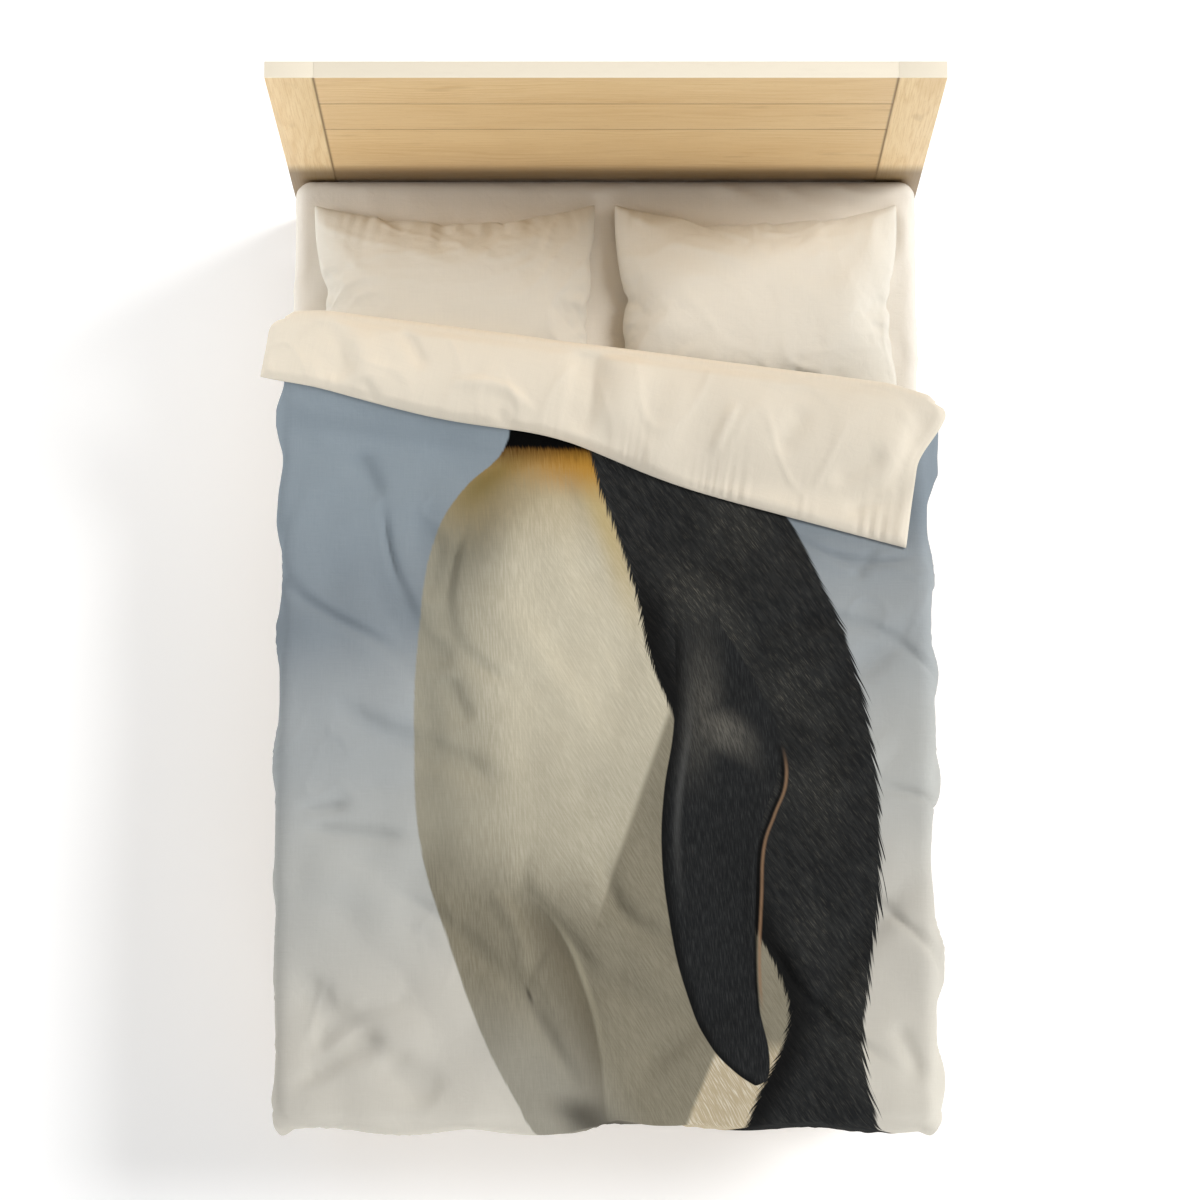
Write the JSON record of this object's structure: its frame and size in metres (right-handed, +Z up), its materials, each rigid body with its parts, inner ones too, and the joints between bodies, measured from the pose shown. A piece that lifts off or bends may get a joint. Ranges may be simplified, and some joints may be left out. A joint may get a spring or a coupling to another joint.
{
  "type": "made double bed with a penguin-print duvet",
  "caption": "Slatted double bed with a plank headboard, mattress, sheet, pillows and a penguin-print duvet whose head end is turned back over a slanted fold.",
  "frame": {"origin": "on the floor, under the middle of the whole object's box", "axes": "+Z up, +Y from the foot of the bed towards the headboard, +X to the right for someone who stands at the foot and looks at the headboard"},
  "size_m": [1.4914, 2.121, 1.365],
  "materials": {
    "maple": "satin lacquer, fine straight grain",
    "birch": "planed, unfinished",
    "steel": "zinc plated",
    "felt": "pressed felt",
    "foam": "open-cell foam",
    "ticking": "knitted mattress ticking",
    "sheet": "plain woven microfibre",
    "pillow_case": "plain woven microfibre",
    "filling": "fibre filling",
    "print": "plain woven microfibre, printed with a penguin",
    "cream_cloth": "plain woven microfibre",
    "coil": "nylon coil",
    "zip_metal": "nickel plated"
  },
  "bodies": {
    "bed": {"headboard_stile_left": "maple", "headboard_stile_right": "maple", "headboard_top_board": "maple", "headboard_middle_board": "maple", "headboard_lower_board": "maple", "headboard_dowels": "birch", "side_rail_left": "maple", "side_rail_right": "maple", "foot_rail": "maple", "head_rail": "maple", "slat_ledge_left": "birch", "slat_ledge_right": "birch", "slats": "birch", "slat_screws": "steel", "centre_beam": "maple", "beam_hangers": "steel", "centre_legs": "maple", "foot_leg_left": "maple", "foot_leg_right": "maple", "floor_glides": "felt", "rail_bolts": "steel", "barrel_nuts": "steel", "leg_bolts": "steel", "mattress_core": "foam", "mattress_comfort_layer": "foam", "mattress_ticking": "ticking", "fitted_sheet": "sheet", "sheet_elastic": "sheet", "pillow_filling_left": "filling", "pillow_case_left": "pillow_case", "pillow_filling_right": "filling", "pillow_case_right": "pillow_case"},
    "duvet": {"duvet_under_panel": "cream_cloth", "duvet_filling": "filling", "duvet_printed_panel": "print", "zip_tapes": "cream_cloth", "zip_coil": "coil", "zip_stops": "zip_metal"},
    "turned_back_end": {"flap_printed_panel": "print", "flap_filling": "filling", "flap_cream_panel": "cream_cloth"},
    "zip_runner": {"zip_slider": "zip_metal", "zip_pull": "zip_metal"}
  },
  "joints": [
    {"name": "duvet_lift", "type": "slide", "parent": "bed", "child": "duvet", "axis": [0, 0, 1], "range_m": [0, 0.3]},
    {"name": "flap_turn", "type": "hinge", "parent": "duvet", "child": "turned_back_end", "pos_m": [0, 0.6025, 0.62825], "axis": [-0.9914, 0.1305, 0], "range_deg": [0, 100]},
    {"name": "zip_slide", "type": "slide", "parent": "duvet", "child": "zip_runner", "axis": [1, 0, 0], "range_m": [0, 0.975]}
  ]
}
